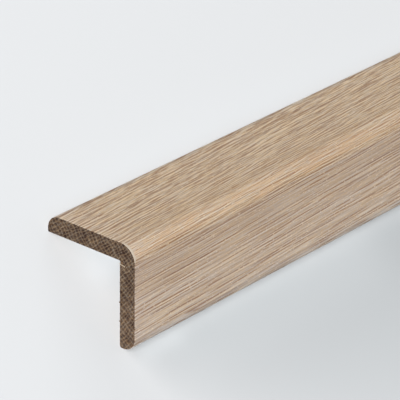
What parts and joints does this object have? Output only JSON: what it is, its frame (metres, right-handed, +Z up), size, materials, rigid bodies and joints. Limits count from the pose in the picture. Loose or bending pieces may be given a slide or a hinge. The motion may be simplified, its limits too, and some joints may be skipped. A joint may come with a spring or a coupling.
{
  "type": "stair lipping",
  "caption": "Solid oak angle moulding with two equal legs, a rounded outer corner and rounded leg tips, which covers the edge of a stair tread.",
  "frame": {"origin": "on the floor, under the ridge, at mid length, with the moulding resting on its two inner arrises", "axes": "+X along the length, +Z up through the ridge, the tread leg falls away towards +Y and the riser leg towards -Y, each at 45 degrees"},
  "size_m": [1, 0.0456, 0.0265],
  "materials": {
    "oak": "planed and lightly sanded, with a matt clear finish on the faces and bare sawn ends"
  },
  "bodies": {
    "root": {"stair_lipping": "oak"}
  },
  "joints": []
}
